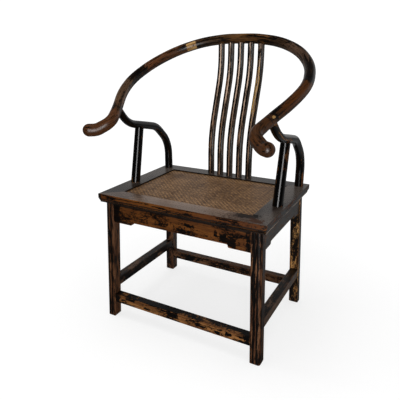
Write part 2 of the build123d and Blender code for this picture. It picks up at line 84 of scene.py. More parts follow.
def band(tree, value, middle, outer, inner):
    """Marks the values near a middle one: wholly within inner of it, and not at all past outer."""
    off = calc(tree, "ABSOLUTE", calc(tree, "SUBTRACT", value, middle))
    return fade(tree, off, outer, inner)


def between(tree, share, first, second):
    """One number or another, or a mix of the two."""
    made = add(tree, "ShaderNodeMix", {0: share, 2: first, 3: second}, data_type="FLOAT")
    return made.outputs[0]


def tint(tree, share, first, second, blend="MIX"):
    """One colour laid over another."""
    made = add(tree, "ShaderNodeMix", {"Factor": share}, data_type="RGBA", blend_type=blend)
    feed(tree, made.inputs[6], first)
    feed(tree, made.inputs[7], second)
    return made.outputs[2]


def cloud(tree, place, scale, detail=5.0, rough=0.6, bend=0.0):
    """A noise around one half, in cycles to the metre."""
    settings = {"Vector": place, "Scale": scale, "Detail": detail, "Roughness": rough, "Distortion": bend}
    return add(tree, "ShaderNodeTexNoise", settings).outputs["Fac"]


def stretched(tree, place, by, shift=(0, 0, 0)):
    """A place, moved and scaled along its three directions."""
    moved = add(tree, "ShaderNodeVectorMath", {0: place, 1: shift}, operation="ADD").outputs[0]
    return add(tree, "ShaderNodeVectorMath", {0: moved, 1: by}, operation="MULTIPLY").outputs[0]


def colour(red, green, blue):
    """A colour from its display values, 0 to 255."""
    return (*[(value / 255) ** 2.2 for value in (red, green, blue)], 1)


scene.view_settings.view_transform = "Standard"
studio_white = 1.1

floor_mesh = bpy.data.meshes.new("studio_floor")
floor_shape = bmesh.new()
bmesh.ops.create_circle(floor_shape, cap_ends=True, segments=96, radius=30.0)
floor_shape.to_mesh(floor_mesh)
floor_shape.free()
floor = bpy.data.objects.new("studio_floor", floor_mesh)
scene.collection.objects.link(floor)

floor_paint = bpy.data.materials.new("studio_floor")
floor_paint.use_nodes = True
paper = floor_paint.node_tree
matt = paper.nodes["Principled BSDF"]
matt.inputs["Roughness"].default_value = 0.9
matt.inputs["Specular IOR Level"].default_value = 0.1
spot = add(paper, "ShaderNodeTexCoord").outputs["Object"]
out_from_chair = add(paper, "ShaderNodeVectorMath", {0: spot}, operation="LENGTH").outputs["Value"]
far = fade(paper, out_from_chair, 0.4, 1.5, 0.68, 1.0)
seen = add(paper, "ShaderNodeLightPath").outputs["Is Camera Ray"]
dim = fade(paper, add(paper, "ShaderNodeSeparateXYZ", {0: spot}).outputs["Y"], -0.5, 0.6, 0.05, 0.4)
dim = add(paper, "ShaderNodeCombineColor", {0: dim, 1: dim, 2: dim}).outputs[0]
feed(paper, matt.inputs["Base Color"], tint(paper, seen, dim, (0.93, 0.93, 0.93, 1)))
glow = add(paper, "ShaderNodeEmission", {"Color": (1, 1, 1, 1), "Strength": studio_white})
blend = add(paper, "ShaderNodeMixShader", {0: calc(paper, "MULTIPLY", far, seen)})
paper.links.new(matt.outputs[0], blend.inputs[1])
paper.links.new(glow.outputs[0], blend.inputs[2])
paper.links.new(blend.outputs[0], paper.nodes["Material Output"].inputs["Surface"])
floor_mesh.materials.append(floor_paint)

# The walls are darker in front of the chair and overhead, and the camera sees them white.
surround = bpy.data.worlds.new("studio")
scene.world = surround
surround.use_nodes = True
sky = surround.node_tree
rays = add(sky, "ShaderNodeLightPath").outputs
whence = add(sky, "ShaderNodeSeparateXYZ", {0: add(sky, "ShaderNodeTexCoord").outputs["Generated"]}).outputs
toward_back = fade(sky, whence["Y"], 0.0, 0.7, 0.03, 0.52)
toward_floor = fade(sky, whence["Z"], 0.65, 0.30, 0.08, 1.0)
mirrored = calc(sky, "MULTIPLY", toward_back, toward_floor)
diffuse = fade(sky, whence["Y"], -0.6, 0.6, 0.16, 0.50)
wall = between(sky, rays["Is Glossy Ray"], diffuse, mirrored)
wall = add(sky, "ShaderNodeCombineColor", {0: wall, 1: wall, 2: wall}).outputs[0]
wall = tint(sky, rays["Is Camera Ray"], wall, (studio_white, studio_white, studio_white, 1))
feed(sky, sky.nodes["Background"].inputs["Color"], wall)


def soft_box(name, place, aim, wide, tall, watts, mirrored=True):
    """A soft box that faces a point, and may be kept out of the reflections."""
    light = bpy.data.lights.new(name, "AREA")
    light.shape = "RECTANGLE"
    light.size = wide
    light.size_y = tall
    light.energy = watts
    box = bpy.data.objects.new(name, light)
    scene.collection.objects.link(box)
    box.location = place
    box.rotation_euler = (Vector(aim) - Vector(place)).to_track_quat("-Z", "Y").to_euler()
    box.visible_camera = False
    box.visible_glossy = mirrored


soft_box("front_box", (0.95, -2.1, 0.72), (0, 0, 0.5), 0.75, 1.4, 36)
soft_box("overhead_box", (-0.3, -0.2, 2.9), (0, 0, 0.4), 1.6, 1.6, 30, mirrored=False)
soft_box("left_box", (-2.6, -0.6, 1.2), (0, 0, 0.5), 0.7, 1.6, 10, mirrored=False)

camera_azimuth = radians(28.60)
camera_height = radians(19.57)
camera_roll = radians(-0.21)
camera_distance = 1.5475
camera_aim = Vector((-0.0279, -0.01405, 0.4329))
lens_pixels = 431.75
frame_pixels = 400

back = Vector((
    sin(camera_azimuth) * cos(camera_height),
    -cos(camera_azimuth) * cos(camera_height),
    sin(camera_height),
))
level = (-back).cross(Vector((0, 0, 1))).normalized()
upward = level.cross(-back)
across = level * cos(camera_roll) + upward * sin(camera_roll)
upright = -level * sin(camera_roll) + upward * cos(camera_roll)
lens = bpy.data.cameras.new("camera")
lens.sensor_width = 36.0
lens.sensor_fit = "HORIZONTAL"
lens.lens = lens.sensor_width * lens_pixels / frame_pixels
camera = bpy.data.objects.new("camera", lens)
scene.collection.objects.link(camera)
turn = Matrix((across, upright, back)).transposed()
camera.matrix_world = Matrix.Translation(camera_aim + back * camera_distance) @ turn.to_4x4()
scene.camera = camera

# ------------------------------------------------------------------ hoop rail
# Seven bent lengths of round hardwood, lapped and pinned end to end, in a brown lacquer rubbed thin over
# black. The laps have stayed dark, and one is rubbed to gold. Every lacquer on the chair is laid by the
# same effect, so that is made here too.


# A near black, laid as painted shade and as black flecks.
black_and_painted_shade = (0.004, 0.0035, 0.003, 1)


def add_socket(group, name, kind, way="INPUT", value=None):
    """Adds a named way in or out of an effect."""
    socket = group.interface.new_socket(name, in_out=way, socket_type="NodeSocket" + kind)
    if value is not None:
        socket.default_value = value


def make_lacquer():
    """Lacquer over wood, rubbed through in streaks along the grain and in flakes."""
    group = bpy.data.node_groups.new("rubbed_lacquer", "ShaderNodeTree")
    for name in ("Place", "Grain"):
        add_socket(group, name, "Vector")
    numbers = {
        "Wear": 0.5, "Streak": 0.5, "Patch": 0.8, "Edge": 0.0, "Hollow": 0.0, "Gloss": 0.22, "Dull": 0.22,
    }
    for name, value in numbers.items():
        add_socket(group, name, "Float", value=value)
    for name in ("Lacquer", "Film", "Wood", "Pale"):
        add_socket(group, name, "Color")
    add_socket(group, "Color", "Color", "OUTPUT")
    for name in ("Roughness", "Height"):
        add_socket(group, name, "Float", "OUTPUT")
    given = group.nodes.new("NodeGroupInput").outputs
    halfway = {0: 0.5, 4: given["Place"], 5: given["Grain"]}
    halfway = add(group, "ShaderNodeMix", halfway, data_type="VECTOR").outputs[1]
    patches = cloud(group, halfway, 26, 5, 0.65, 0.5)
    streaks = cloud(group, given["Grain"], 200, 5, 0.6)
    flakes = cloud(group, halfway, 240, 6, 0.7, 0.4)
    pores = cloud(group, given["Grain"], 520, 3, 0.6)
    figure = cloud(group, given["Grain"], 60, 4, 0.6)
    marks = between(group, given["Streak"], flakes, streaks)

    # The level is above zero where the lacquer has gone: wear and edges raise it, and hollows lower it.
    level = calc(group, "MULTIPLY", calc(group, "SUBTRACT", patches, 0.5), given["Patch"])
    level = calc(group, "MULTIPLY_ADD", marks, 1.1, level)
    level = calc(group, "MULTIPLY_ADD", given["Wear"], 0.6, calc(group, "SUBTRACT", level, 0.85))
    level = calc(group, "MULTIPLY_ADD", given["Edge"], 0.20, level)
    level = calc(group, "MULTIPLY_ADD", given["Hollow"], -0.40, level)
    thin = fade(group, level, -0.035, 0.0)
    bare = fade(group, level, -0.005, 0.035)

    wood = tint(group, fade(group, figure, 0.36, 0.66), given["Wood"], given["Pale"])
    wood = tint(group, fade(group, pores, 0.50, 0.34, 0.0, 0.7), wood, given["Film"])
    top = tint(group, fade(group, streaks, 0.48, 0.7, 0.0, 0.45), given["Lacquer"], given["Film"])
    shown = tint(group, thin, top, given["Film"])
    shown = tint(group, bare, shown, wood)
    # Hollows are darkened toward black as painted shade.
    shown = tint(group, calc(group, "MULTIPLY", given["Hollow"], 0.8, clamp=True), shown, black_and_painted_shade)
    rough = calc(group, "MULTIPLY_ADD", fade(group, flakes, 0.35, 0.65), 0.08, given["Gloss"])
    rough = calc(group, "MULTIPLY_ADD", bare, given["Dull"], rough)

    height = calc(group, "MULTIPLY", bare, -0.6)
    height = calc(group, "MULTIPLY_ADD", calc(group, "MULTIPLY", pores, bare), 0.5, height)
    out = group.nodes.new("NodeGroupOutput")
    for name, value in (("Color", shown), ("Roughness", rough), ("Height", height)):
        feed(group, out.inputs[name], value)
    return group


def make_edges():
    """Where hands and cloths rub, and where the lacquer stays and painted shade darkens: the sharp edges and
    the hollows of a piece.
    """
    group = bpy.data.node_groups.new("edges_and_hollows", "ShaderNodeTree")
    add_socket(group, "Reach", "Float", value=0.004)
    add_socket(group, "Edge", "Float", "OUTPUT")
    add_socket(group, "Hollow", "Float", "OUTPUT")
    given = group.nodes.new("NodeGroupInput").outputs
    reach = {"Distance": given["Reach"]}
    within = add(group, "ShaderNodeAmbientOcclusion", reach, inside=True, only_local=True, samples=6)
    around = add(group, "ShaderNodeAmbientOcclusion", reach, only_local=True, samples=6)
    out = group.nodes.new("NodeGroupOutput")
    feed(group, out.inputs["Edge"], fade(group, within.outputs["AO"], 0.92, 0.45))
    feed(group, out.inputs["Hollow"], fade(group, around.outputs["AO"], 0.93, 0.5))
    return group


lacquer_effect = make_lacquer()
edge_effect = make_edges()


class Finish:
    """A lacquered finish: where its pattern is read, and how far it is rubbed.

    The grain squeezes the pattern along each direction, and is smallest along the wood. Where it follows
    an attribute, places are read from that instead of from the piece's own coordinates.
    """

    def __init__(self, name, grain, follows=None, shift=(0, 0, 0), reach=0.004):
        self.paint = bpy.data.materials.new(name)
        self.paint.use_nodes = True
        self.tree = self.paint.node_tree
        if follows:
            self.place = add(self.tree, "ShaderNodeAttribute", attribute_name=follows).outputs["Vector"]
        else:
            self.place = add(self.tree, "ShaderNodeTexCoord").outputs["Object"]
        self.x, self.y, self.z = add(self.tree, "ShaderNodeSeparateXYZ", {0: self.place}).outputs
        facing = add(self.tree, "ShaderNodeNewGeometry").outputs["Normal"]
        self.face_x, self.face_y, self.face_z = add(self.tree, "ShaderNodeSeparateXYZ", {0: facing}).outputs
        rubbed = add(self.tree, "ShaderNodeGroup", node_tree=edge_effect)
        rubbed.inputs["Reach"].default_value = reach
        self.edge, self.hollow = rubbed.outputs["Edge"], rubbed.outputs["Hollow"]
        self.shifted = stretched(self.tree, self.place, (1, 1, 1), shift)
        self.grain = stretched(self.tree, self.place, grain, shift)
        self.ragged = calc(self.tree, "SUBTRACT", cloud(self.tree, self.shifted, 120, 4, 0.65), 0.5)

    def spot(self, across, middle, half, up=None, up_middle=0.0, up_half=1.0):
        """A ragged patch around one place, of a number or of two."""
        tree = self.tree
        out = calc(tree, "DIVIDE", calc(tree, "SUBTRACT", across, middle), half)
        out = calc(tree, "ABSOLUTE", out)
        if up:
            high = calc(tree, "DIVIDE", calc(tree, "SUBTRACT", up, up_middle), up_half)
            out = calc(tree, "SMOOTH_MAX", out, calc(tree, "ABSOLUTE", high), 0.3)
        return fade(tree, calc(tree, "MULTIPLY_ADD", self.ragged, 2.2, out), 1.12, 0.88)

    def blots(self, places):
        """Ragged patches on a long face, each from its middle and half size, across and then upward."""
        return self.either([
            self.spot(self.x, middle, half, self.z, height, tall) for middle, half, height, tall in places
        ])

    def toward(self, x_share, y_share):
        """How far a surface faces a level direction."""
        across = calc(self.tree, "MULTIPLY", self.face_x, x_share)
        return calc(self.tree, "MULTIPLY_ADD", self.face_y, y_share, across)

    def either(self, masks):
        """Wherever one of several patches is."""
        whole = masks[0]
        for mask in masks[1:]:
            whole = calc(self.tree, "MAXIMUM", whole, mask)
        return whole

    def lay(self, wear, lacquer, film, wood, pale, streak=0.5, patch=0.8, gloss=0.22, dull=0.22, tone=None,
            shine=0.5, relief=0.3):
        """Lays the lacquer and joins everything to the surface. A tone is a last word on the colour."""
        tree = self.tree
        layer = add(tree, "ShaderNodeGroup", node_tree=lacquer_effect)
        settings = {
            "Place": self.shifted, "Grain": self.grain, "Wear": wear, "Streak": streak, "Edge": self.edge,
            "Hollow": self.hollow, "Gloss": gloss, "Patch": patch, "Dull": dull,
            "Lacquer": lacquer, "Film": film, "Wood": wood, "Pale": pale,
        }
        for name, value in settings.items():
            feed(tree, layer.inputs[name], value)
        shown = layer.outputs["Color"]
        surface = tree.nodes["Principled BSDF"]
        feed(tree, surface.inputs["Base Color"], tone(shown) if tone else shown)
        feed(tree, surface.inputs["Roughness"], layer.outputs["Roughness"])
        surface.inputs["Specular IOR Level"].default_value = shine
        depth = {"Strength": relief, "Distance": 0.0003, "Height": layer.outputs["Height"]}
        bump = add(tree, "ShaderNodeBump", depth)
        feed(tree, surface.inputs["Normal"], bump.outputs["Normal"])
        return self.paint


def line_through(corners):
    """The points of a smooth line, drawn by its corners."""
    curve = bpy.data.curves.new("line", "CURVE")
    curve.dimensions = "3D"
    spline = curve.splines.new("NURBS")
    spline.points.add(len(corners) - 1)
    for point, corner in zip(spline.points, corners):
        point.co = (*corner, 1)
    spline.order_u = 3
    spline.use_endpoint_u = True
    spline.resolution_u = 40
    holder = bpy.data.objects.new("line", curve)
    scene.collection.objects.link(holder)
    bpy.context.view_layer.update()
    mesh = bpy.data.meshes.new_from_object(holder.evaluated_get(bpy.context.evaluated_depsgraph_get()))
    points = [vertex.co.copy() for vertex in mesh.vertices]
    bpy.data.objects.remove(holder)
    bpy.data.meshes.remove(mesh)
    return points


def dressed(node, name, paint):
    """A merged copy of a CAD node, which stands for it."""
    cad = nodes[node]
    normals = [corner.vector.copy() for corner in cad.data.corner_normals]
    shape = bmesh.new()
    shape.from_mesh(cad.data)
    bmesh.ops.remove_doubles(shape, verts=shape.verts, dist=1e-6)
    mesh = bpy.data.meshes.new(name)
    shape.to_mesh(mesh)
    shape.free()
    if len(mesh.loops) == len(normals):
        mesh.normals_split_custom_set(normals)
    mesh.materials.append(paint)
    piece = bpy.data.objects.new(name, mesh)
    scene.collection.objects.link(piece)
    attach(piece, "root")
    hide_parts(node)
    return piece


def follow(piece, line, beside, shift=0.0):
    """Gives a bent piece its places as if it were straight: two across it, and one along it."""
    runs = [0.0]
    for first, second in zip(line, line[1:]):
        runs.append(runs[-1] + (second - first).length)
    tree = KDTree(len(line))
    for number, point in enumerate(line):
        tree.insert(point, number)
    tree.balance()
    places = []
    for vertex in piece.data.vertices:
        near = min(max(tree.find(vertex.co)[1], 1), len(line) - 2)
        along = (line[near + 1] - line[near - 1]).normalized()
        side = (beside - along * beside.dot(along)).normalized()
        offset = vertex.co - line[near]
        run = runs[near] + offset.dot(along) + shift
        places.append((offset.dot(side), offset.dot(along.cross(side)), run))
    attribute = piece.data.attributes.new("along", "FLOAT_VECTOR", "POINT")
    attribute.data.foreach_set("vector", [number for place in places for number in place])


seat_top = 0.480
seat_middle = -0.01405
rail_corners = [
    (0.0, 0.2705, 0.498), (0.058, 0.2705, 0.498), (0.150, 0.257, 0.487), (0.236, 0.211, 0.4575),
    (0.299, 0.131, 0.4125), (0.322, 0.031, 0.3625), (0.304, -0.056, 0.321), (0.268, -0.131, 0.2795),
    (0.243, -0.197, 0.2445), (0.282, -0.225, 0.220), (0.301, -0.2393, 0.220),
]


def over_seat(side, corner):
    """A point measured from the middle of the seat's top, on the right or mirrored to the left."""
    return Vector((side * corner[0], corner[1] + seat_middle, corner[2] + seat_top))


rail_line = [over_seat(1, corner) for corner in rail_corners]
rail_line = line_through([over_seat(-1, corner) for corner in reversed(rail_corners[1:])] + rail_line)
rail_length = sum((b - a).length for a, b in zip(rail_line, rail_line[1:]))

rail_finish = Finish("rail_lacquer", (1, 1, 0.05), follows="along", reach=0.003)
tree = rail_finish.tree
along = calc(tree, "SUBTRACT", rail_finish.z, rail_length / 2)
around = calc(tree, "ARCTAN2", rail_finish.y, rail_finish.x)
wander = calc(tree, "MULTIPLY_ADD", rail_finish.ragged, 0.05, along)
browns = add(tree, "ShaderNodeValToRGB", {0: calc(tree, "MULTIPLY_ADD", wander, 1 / rail_length, 0.5)})
# Each stop: its place along the rail, in metres from the middle, the colour of the wood, and its wear.
brown_lengths = [
    (-0.800, (72, 45, 27), 0.66), (-0.700, (76, 48, 29), 0.66), (-0.685, (54, 38, 26), 0.46),
    (-0.640, (78, 58, 42), 0.58), (-0.520, (80, 60, 44), 0.58), (-0.490, (44, 36, 26), 0.36),
    (-0.420, (42, 34, 24), 0.34), (-0.395, (88, 54, 32), 0.56), (-0.250, (80, 52, 32), 0.54),
    (-0.170, (58, 42, 29), 0.44), (-0.100, (64, 46, 28), 0.50), (-0.020, (90, 62, 34), 0.56),
    (0.100, (84, 56, 30), 0.52), (0.130, (50, 38, 27), 0.38), (0.190, (56, 42, 32), 0.42),
    (0.220, (70, 54, 44), 0.58), (0.365, (68, 52, 42), 0.58), (0.388, (44, 36, 27), 0.36),
    (0.455, (40, 32, 23), 0.32), (0.478, (76, 44, 18), 0.54), (0.620, (68, 39, 16), 0.52),
    (0.650, (54, 37, 22), 0.42), (0.680, (66, 42, 24), 0.62), (0.780, (66, 42, 25), 0.64),
    (0.810, (64, 41, 25), 0.64),
]
stops = browns.color_ramp.elements
while len(stops) < len(brown_lengths):
    stops.new(0.5)
for stop, (place, shade, wear) in zip(stops, brown_lengths):
    stop.position = place / rail_length + 0.5
    stop.color = (*colour(*shade)[:3], wear)
warm = browns.outputs["Color"]
paler = tint(tree, 1.0, warm, (1.6, 1.55, 1.45, 1), "MULTIPLY")
flecks = stretched(tree, rail_finish.place, (1, 1, 0.16))
flecks = fade(tree, cloud(tree, flecks, 330, 3, 0.55), 0.60, 0.66)
long_streaks = stretched(tree, rail_finish.place, (1, 1, 0.022), (0.3, 0, 0))
long_streaks = fade(tree, cloud(tree, long_streaks, 210, 4, 0.6), 0.57, 0.66)
flecks = calc(tree, "MAXIMUM", flecks, long_streaks)
from_middle = calc(tree, "ABSOLUTE", along)
flecks = calc(tree, "MULTIPLY", flecks, fade(tree, from_middle, 0.67, 0.72, 0.75, 0.45))

# A lap shows two seams: one around the upper half of the rail, and one around its lower half.
upper_seams = (0.219, 0.467, 0.677)
lower_seams = (0.161, 0.409, 0.619)
seams = []
for places, half in ((upper_seams, 1), (lower_seams, -1)):
    for place in places:
        ring = band(tree, from_middle, place, 0.0030, 0.0008)
        side = calc(tree, "GREATER_THAN", calc(tree, "MULTIPLY", rail_finish.x, half), 0.0)
        seams.append(calc(tree, "MULTIPLY", ring, side))
seam = rail_finish.either(seams)

# Each patch: its place along the rail, half its length, its turn around the rail, and half its arc.
rail_blacks = [
    (-0.231, 0.008, 1.45, 0.55), (-0.169, 0.007, 1.65, 0.60), (0.140, 0.011, 1.00, 0.28),
    (0.205, 0.008, 0.65, 0.25), (0.461, 0.012, -0.40, 0.90), (-0.455, 0.016, 0.90, 0.50),
    (0.655, 0.006, -0.90, 0.80), (0.635, 0.016, -0.20, 0.35), (-0.664, 0.007, 1.50, 0.30),
    (0.790, 0.008, 1.20, 0.15),
]
black_patches = rail_finish.either([
    rail_finish.spot(along, place, half, around, turned, arc) for place, half, turned, arc in rail_blacks
])
gold_length = band(tree, along, -0.1985, 0.0205, 0.0190)
gold_arc = band(tree, around, 1.65, 0.95, 0.85)
gold_band = calc(tree, "MULTIPLY", gold_length, gold_arc)
gold_spot = rail_finish.spot(along, 0.664, 0.006, around, -0.9, 0.22)
gold_patches = rail_finish.either([gold_band, gold_spot])


def gilded(shown):
    """The rail's colour with its dark flecks, black patches, gold and seams laid over it."""
    dulled = fade(tree, cloud(tree, rail_finish.grain, 260, 4), 0.36, 0.6)
    dulled = tint(tree, dulled, colour(128, 92, 50), colour(188, 150, 96))
    shown = tint(tree, flecks, shown, colour(18, 13, 10))
    shown = tint(tree, calc(tree, "MULTIPLY", black_patches, 0.85), shown, colour(14, 13, 13))
    shown = tint(tree, calc(tree, "MULTIPLY", gold_patches, 0.92), shown, dulled)
    return tint(tree, calc(tree, "MULTIPLY", seam, 0.9), shown, (0.003, 0.003, 0.003, 1))


rail_paint = rail_finish.lay(
    wear=calc(tree, "ADD", browns.outputs["Alpha"], 0.02), lacquer=colour(22, 16, 12),
    film=colour(42, 29, 18), wood=warm, pale=paler, streak=0.85, patch=0.5, gloss=0.27, dull=0.05,
    tone=gilded, shine=0.45, relief=0.05,
)
paired = [f"{part}_{side}" for part in ("shoulder", "arm", "hand") for side in ("left", "right")]
for name in ["back"] + paired:
    piece = dressed("rail_" + name, "hoop_" + name, rail_paint)
    follow(piece, rail_line, Vector((0, 0, 1)))

pin_finish = Finish("rail_pin_lacquer", (1, 1, 1))
nodes["rail_pins"].data.materials[0] = pin_finish.lay(
    wear=0.30, lacquer=colour(14, 11, 10), film=colour(38, 26, 17), wood=colour(84, 54, 32),
    pale=colour(120, 84, 50), streak=0.5, gloss=0.27, shine=0.4, relief=0.05,
)

# ------------------------------------------------------------------ side posts and straight posts
# Round hardwood in glossy black lacquer: a bent post from the back of the seat to the hoop, and a
# straight one that stands on the seat's side and is scribed to it. The right ones are rubbed a little
# brown on the outside.

post_finish = Finish("post_lacquer", (1, 1, 0.05), follows="along")
tree = post_finish.tree
around = calc(tree, "ARCTAN2", post_finish.y, post_finish.x)
right_posts = fade(tree, post_finish.z, 0.9, 1.0, 0.15, 1.0)
rubbed_side = calc(tree, "MULTIPLY", band(tree, around, -0.35, 0.55, 0.15), right_posts)
post_paint = post_finish.lay(
    wear=calc(tree, "MULTIPLY_ADD", rubbed_side, 0.26, 0.14), lacquer=colour(8, 7, 7),
    film=colour(20, 14, 11), wood=colour(92, 56, 28), pale=colour(130, 86, 44), streak=0.9,
    gloss=0.15, shine=0.34, relief=0.06,
)
side_post_corners = [
    (0.275, 0.1845, 0.0), (0.275, 0.1845, 0.108), (0.275, 0.101, 0.182), (0.275, 0.049, 0.1935),
    (0.275, -0.072, 0.218), (0.2683, -0.1323, 0.279),
]
arm_post_corners = [(0.275, -0.046, 0.0), (0.275, -0.025, 0.1), (0.275, -0.004, 0.204)]

# The shift keeps the four posts' patterns apart, and puts the right ones past one metre.
for side, name in ((-1, "left"), (1, "right")):
    for number, (part, corners) in enumerate((("side", side_post_corners), ("arm", arm_post_corners))):
        piece = dressed(f"{part}_post_{name}", f"{part}_post_turned_{name}", post_paint)
        line = line_through([over_seat(side, corner) for corner in corners])
        follow(piece, line, Vector((1, 0, 0)), shift=1.5 * side + number)

# ------------------------------------------------------------------ slats
# Five upright slats of black lacquered hardwood, bent in a gentle S and rounded in front, where backs have
# rubbed a thin pale line down to the wood, painted brighter toward the top as a highlight. Their right faces
# are painted a lighter grey brown as sheen, and their left faces near black as shade. They are stub tenoned
# into the seat frame and the hoop.

slat_corners = [(0.185, -0.02), (0.185, 0.148), (0.2665, 0.385), (0.2665, 0.51)]
slat_spacing = 0.0393
slat_line = line_through([over_seat(1, (0.0, *corner)) for corner in slat_corners])
slat_finish = Finish("slat_lacquer", (1, 1, 0.05), follows="along")
tree = slat_finish.tree

# How far a place is from the middle of its own slat.
offset = calc(tree, "FLOORED_MODULO", calc(tree, "ADD", slat_finish.x, 5.5 * slat_spacing), slat_spacing)
offset = calc(tree, "SUBTRACT", offset, slat_spacing / 2)
on_front = fade(tree, slat_finish.face_y, -0.35, -0.85)
on_left = fade(tree, slat_finish.face_x, -0.15, -0.5)
on_right = fade(tree, slat_finish.face_x, 0.5, 0.9)
highlight_upward_share = fade(tree, slat_finish.z, 0.20, 0.42)
streaks = cloud(tree, slat_finish.grain, 230, 4)
pale_line_and_highlight = calc(tree, "MULTIPLY", band(tree, offset, 0.0006, 0.0030, 0.0014), on_front)
pale_line_and_highlight = calc(tree, "MULTIPLY", pale_line_and_highlight, fade(tree, streaks, 0.36, 0.56))
last_slat = fade(tree, slat_finish.x, 0.055, 0.065)
golden = calc(tree, "MULTIPLY", last_slat, slat_finish.spot(slat_finish.z, 0.345, 0.09))
golden = calc(tree, "MULTIPLY", golden, band(tree, offset, -0.001, 0.0075, 0.0055))


def ridged(shown):
    """The slats' colour with a painted sheen on their right faces, painted shade on their left faces, the
    pale line up the front as rubbed wood and painted highlight, and the golden patch.
    """
    # Right faces are painted a lighter grey brown as sheen, and left faces near black as shade.
    side = tint(tree, fade(tree, streaks, 0.35, 0.65), colour(44, 38, 34), colour(104, 92, 82))
    shown = tint(tree, calc(tree, "MULTIPLY", on_right, 0.75), shown, side)
    shown = tint(tree, calc(tree, "MULTIPLY", on_left, 0.9), shown, colour(10, 8, 7))
    # The pale line is rubbed wood, painted brighter toward the top as a highlight.
    crest_wear_and_highlight = tint(tree, highlight_upward_share, colour(158, 128, 106), colour(244, 212, 186))
    shown = tint(tree, calc(tree, "MULTIPLY", pale_line_and_highlight, 0.85), shown, crest_wear_and_highlight)
    warmed = calc(tree, "MULTIPLY", golden, on_front)
    warmed = calc(tree, "MULTIPLY", warmed, fade(tree, streaks, 0.47, 0.54, 0.0, 0.85))
    return tint(tree, warmed, shown, colour(176, 138, 80))


black_foot = fade(tree, slat_finish.z, 0.02, 0.14, 0.16, 0.27)
slat_paint = slat_finish.lay(
    wear=calc(tree, "MULTIPLY_ADD", on_front, 0.05, black_foot), lacquer=colour(12, 10, 9),
    film=colour(32, 22, 16), wood=colour(84, 58, 40), pale=colour(120, 88, 64), streak=0.95, patch=0.5,
    gloss=0.20, tone=ridged, shine=0.4, relief=0.06,
)
for number in range(5):
    piece = dressed(f"slat_{number + 1}", f"back_slat_{number + 1}", slat_paint)
    follow(piece, slat_line, Vector((1, 0, 0)))

# ------------------------------------------------------------------ seat frame
# Four members with a moulded edge, mitred and tenoned at the corners, in satin brown black lacquer. The top
# has gone grey brown with use, made paler still by a painted sheen, and the front edge is rubbed to orange,
# with black left in its groove and deepened by painted shade.

groove_height = 0.4622
lip_height = 0.4577
bead_height = 0.4523


def seat_finish(name, grain, outward, dust_and_sheen, clean=colour(34, 27, 24), shine=0.4):
    """The finish of one or two opposite members, which are most rubbed where they face outward."""
    finish = Finish(name, grain, reach=0.0035)
    tree = finish.tree
    rubbed = fade(tree, finish.toward(*outward), 0.35, 0.8)
    on_top = fade(tree, finish.face_z, 0.8, 0.97)
    dust_grain = tuple(0.3 + 0.7 * share for share in grain)
    dust = cloud(tree, stretched(tree, finish.place, dust_grain), 11, 5, 0.55)

    # Painted shade: black painted in the groove as shade over the black lacquer left there, as a shadow under
    # the lip, and on the faces round the mat. Black is also laid at the left end, and in flecks toward the
    # right end.
    in_groove = finish.spot(finish.z, groove_height, 0.0024)
    under = fade(tree, finish.z, lip_height + 0.0005, lip_height - 0.0005)
    under = calc(tree, "MULTIPLY", under, fade(tree, finish.face_x, 0.6, 0.3))
    left_end = finish.spot(finish.x, -0.304, 0.012)
    inward = calc(tree, "MULTIPLY", finish.x, finish.face_x)
    inward = calc(tree, "MULTIPLY_ADD", calc(tree, "ADD", finish.y, -seat_middle), finish.face_y, inward)
    inward = fade(tree, inward, -0.04, -0.10)
    flecks = calc(tree, "MULTIPLY", fade(tree, finish.x, 0.20, 0.29), fade(tree, finish.ragged, 0.01, 0.05))
    painted_shade_and_black = finish.either([in_groove, under, left_end, inward, flecks])
    painted_shade_and_black = calc(tree, "MULTIPLY", painted_shade_and_black, calc(tree, "SUBTRACT", 1.0, on_top))

    darker = finish.spot(finish.x, 0.225, 0.035, finish.y, -0.188, 0.020)
    redder = finish.spot(finish.x, 0.262, 0.022, finish.y, -0.212, 0.014)

    # A paler patch in the middle of the front member's top is a painted sheen. The pale grey brown mixed into
    # the tops is partly dust and partly painted sheen.
    painted_sheen_patch = finish.spot(finish.x, 0.0, 0.17, finish.y, -0.20, 0.06)
    dulled = calc(tree, "MULTIPLY_ADD", painted_sheen_patch, 0.45, fade(tree, dust, 0.34, 0.66, 0.0, 0.55))

    # A thin pale line along the lower bead, on faces that point right, is a painted highlight.
    painted_bead_highlight = band(tree, finish.z, bead_height, 0.0012, 0.0005)
    painted_bead_highlight = calc(tree, "MULTIPLY", painted_bead_highlight, fade(tree, finish.face_x, 0.6, 0.8))
    painted_bead_highlight = calc(tree, "MULTIPLY", painted_bead_highlight, fade(tree, dust, 0.40, 0.55, 0.1, 0.8))

    def greyed(shown):
        """The member's colour with its painted shade and black places, a thin painted highlight low on its
        right faces, and its grey brown top, which is partly painted sheen.
        """
        film = tint(tree, dulled, clean, dust_and_sheen)
        film = tint(tree, calc(tree, "MULTIPLY", darker, 0.8), film, colour(26, 24, 24))
        film = tint(tree, calc(tree, "MULTIPLY", redder, 0.6), film, colour(78, 44, 24))
        # Painted shade and black flecks are laid over the colour.
        shown = tint(tree, calc(tree, "MULTIPLY", painted_shade_and_black, 0.9), shown, black_and_painted_shade)
        shown = tint(tree, painted_bead_highlight, shown, colour(186, 172, 158))
        return tint(tree, calc(tree, "MULTIPLY", on_top, 0.88), shown, film)

    wear = calc(tree, "MULTIPLY_ADD", on_top, -0.14, calc(tree, "MULTIPLY_ADD", rubbed, 0.28, 0.28))
    gloss = calc(tree, "MULTIPLY_ADD", calc(tree, "MAXIMUM", darker, redder), 0.35, 0.26)
    return finish.lay(
        wear=wear, lacquer=colour(14, 11, 10), film=colour(46, 26, 14), wood=colour(88, 48, 17),
        pale=colour(116, 70, 26), streak=0.7, gloss=gloss, tone=greyed, shine=shine, relief=0.15,
    )


